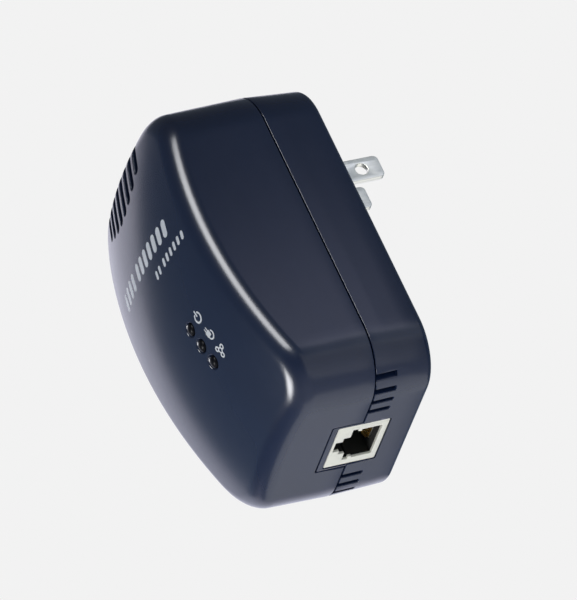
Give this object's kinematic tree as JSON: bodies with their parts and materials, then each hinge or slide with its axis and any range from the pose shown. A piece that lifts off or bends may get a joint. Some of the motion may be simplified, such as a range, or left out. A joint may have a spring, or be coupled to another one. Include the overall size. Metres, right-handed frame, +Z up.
{
  "type": "powerline adapter",
  "caption": "Plug-in powerline network adapter: a tall rounded two-part housing with flat mains blades at the back, a network socket in its bottom and indicator lights on its arched front.",
  "frame": {"origin": "midway between the two blades, on the flat plug face that meets the wall plate", "axes": "+Y along the blades, into the wall; +Z up, towards the vented end, the socket's mouth looks along -Z; +X to the right of someone who reads the front face"},
  "size_m": [0.0614, 0.0681, 0.0878],
  "materials": {
    "housing": "dark navy moulded plastic with a soft sheen",
    "jack_plastic": "ivory moulded plastic",
    "blade_metal": "nickel-plated brass, slightly warm",
    "holder_plastic": "natural nylon",
    "screw_steel": "zinc-plated steel",
    "contact_metal": "gold-plated phosphor bronze",
    "board_laminate": "green solder mask",
    "connector_plastic": "black moulded plastic",
    "label_film": "blank silver-grey polyester film",
    "light_pipe_plastic": "smoked clear plastic, polished domes",
    "led_body": "white package with a clear lens",
    "chip_epoxy": "black moulding compound",
    "optocoupler_epoxy": "white moulding compound",
    "capacitor_sleeve": "dark blue shrink sleeve",
    "film_capacitor_case": "yellow plastic case",
    "transformer_tape": "yellow polyester tape",
    "ferrite": "dark grey sintered ferrite",
    "winding_wire": "enamelled copper wire",
    "varistor_coating": "blue epoxy coating",
    "disc_coating": "orange epoxy coating",
    "crystal_can": "drawn steel can"
  },
  "bodies": {
    "adapter": {"analog_chip": "chip_epoxy", "blade_holder": "holder_plastic", "blade_left": "blade_metal", "blade_right": "blade_metal", "board_header": "connector_plastic", "board_socket": "connector_plastic", "bridge_rectifier": "chip_epoxy", "bulk_capacitor_1": "capacitor_sleeve", "bulk_capacitor_2": "capacitor_sleeve", "case_screw_1": "screw_steel", "case_screw_2": "screw_steel", "case_screw_3": "screw_steel", "case_screw_4": "screw_steel", "common_mode_choke": "ferrite", "coupling_transformer": "transformer_tape", "crystal": "crystal_can", "ethernet_transformer": "chip_epoxy", "filter_inductor": "ferrite", "front_cover": "housing", "fuse": "chip_epoxy", "jack_housing": "jack_plastic", "led_ethernet": "led_body", "led_power": "led_body", "led_powerline": "led_body", "light_pipe": "light_pipe_plastic", "logic_board": "board_laminate", "memory_chip": "chip_epoxy", "optocoupler": "optocoupler_epoxy", "output_capacitor_1": "capacitor_sleeve", "output_capacitor_2": "capacitor_sleeve", "output_inductor": "ferrite", "phy_chip": "chip_epoxy", "power_board": "board_laminate", "powerline_chip": "chip_epoxy", "rating_label": "label_film", "rear_cover": "housing", "rectifier_diode": "chip_epoxy", "supply_chip": "chip_epoxy", "transformer_core": "ferrite", "transformer_winding": "winding_wire", "varistor": "varistor_coating", "x_capacitor": "film_capacitor_case", "y_capacitor": "disc_coating"},
    "contact_springs": {"contact_spring_1": "contact_metal", "contact_spring_2": "contact_metal", "contact_spring_3": "contact_metal", "contact_spring_4": "contact_metal", "contact_spring_5": "contact_metal", "contact_spring_6": "contact_metal", "contact_spring_7": "contact_metal", "contact_spring_8": "contact_metal"}
  },
  "joints": [
    {"name": "contact_press", "type": "hinge", "parent": "adapter", "child": "contact_springs", "pos_m": [0, -0.0122, -0.0671], "axis": [1, 0, 0], "range_deg": [-14, 0], "stiffness_Nm_per_rad": 0.05}
  ]
}
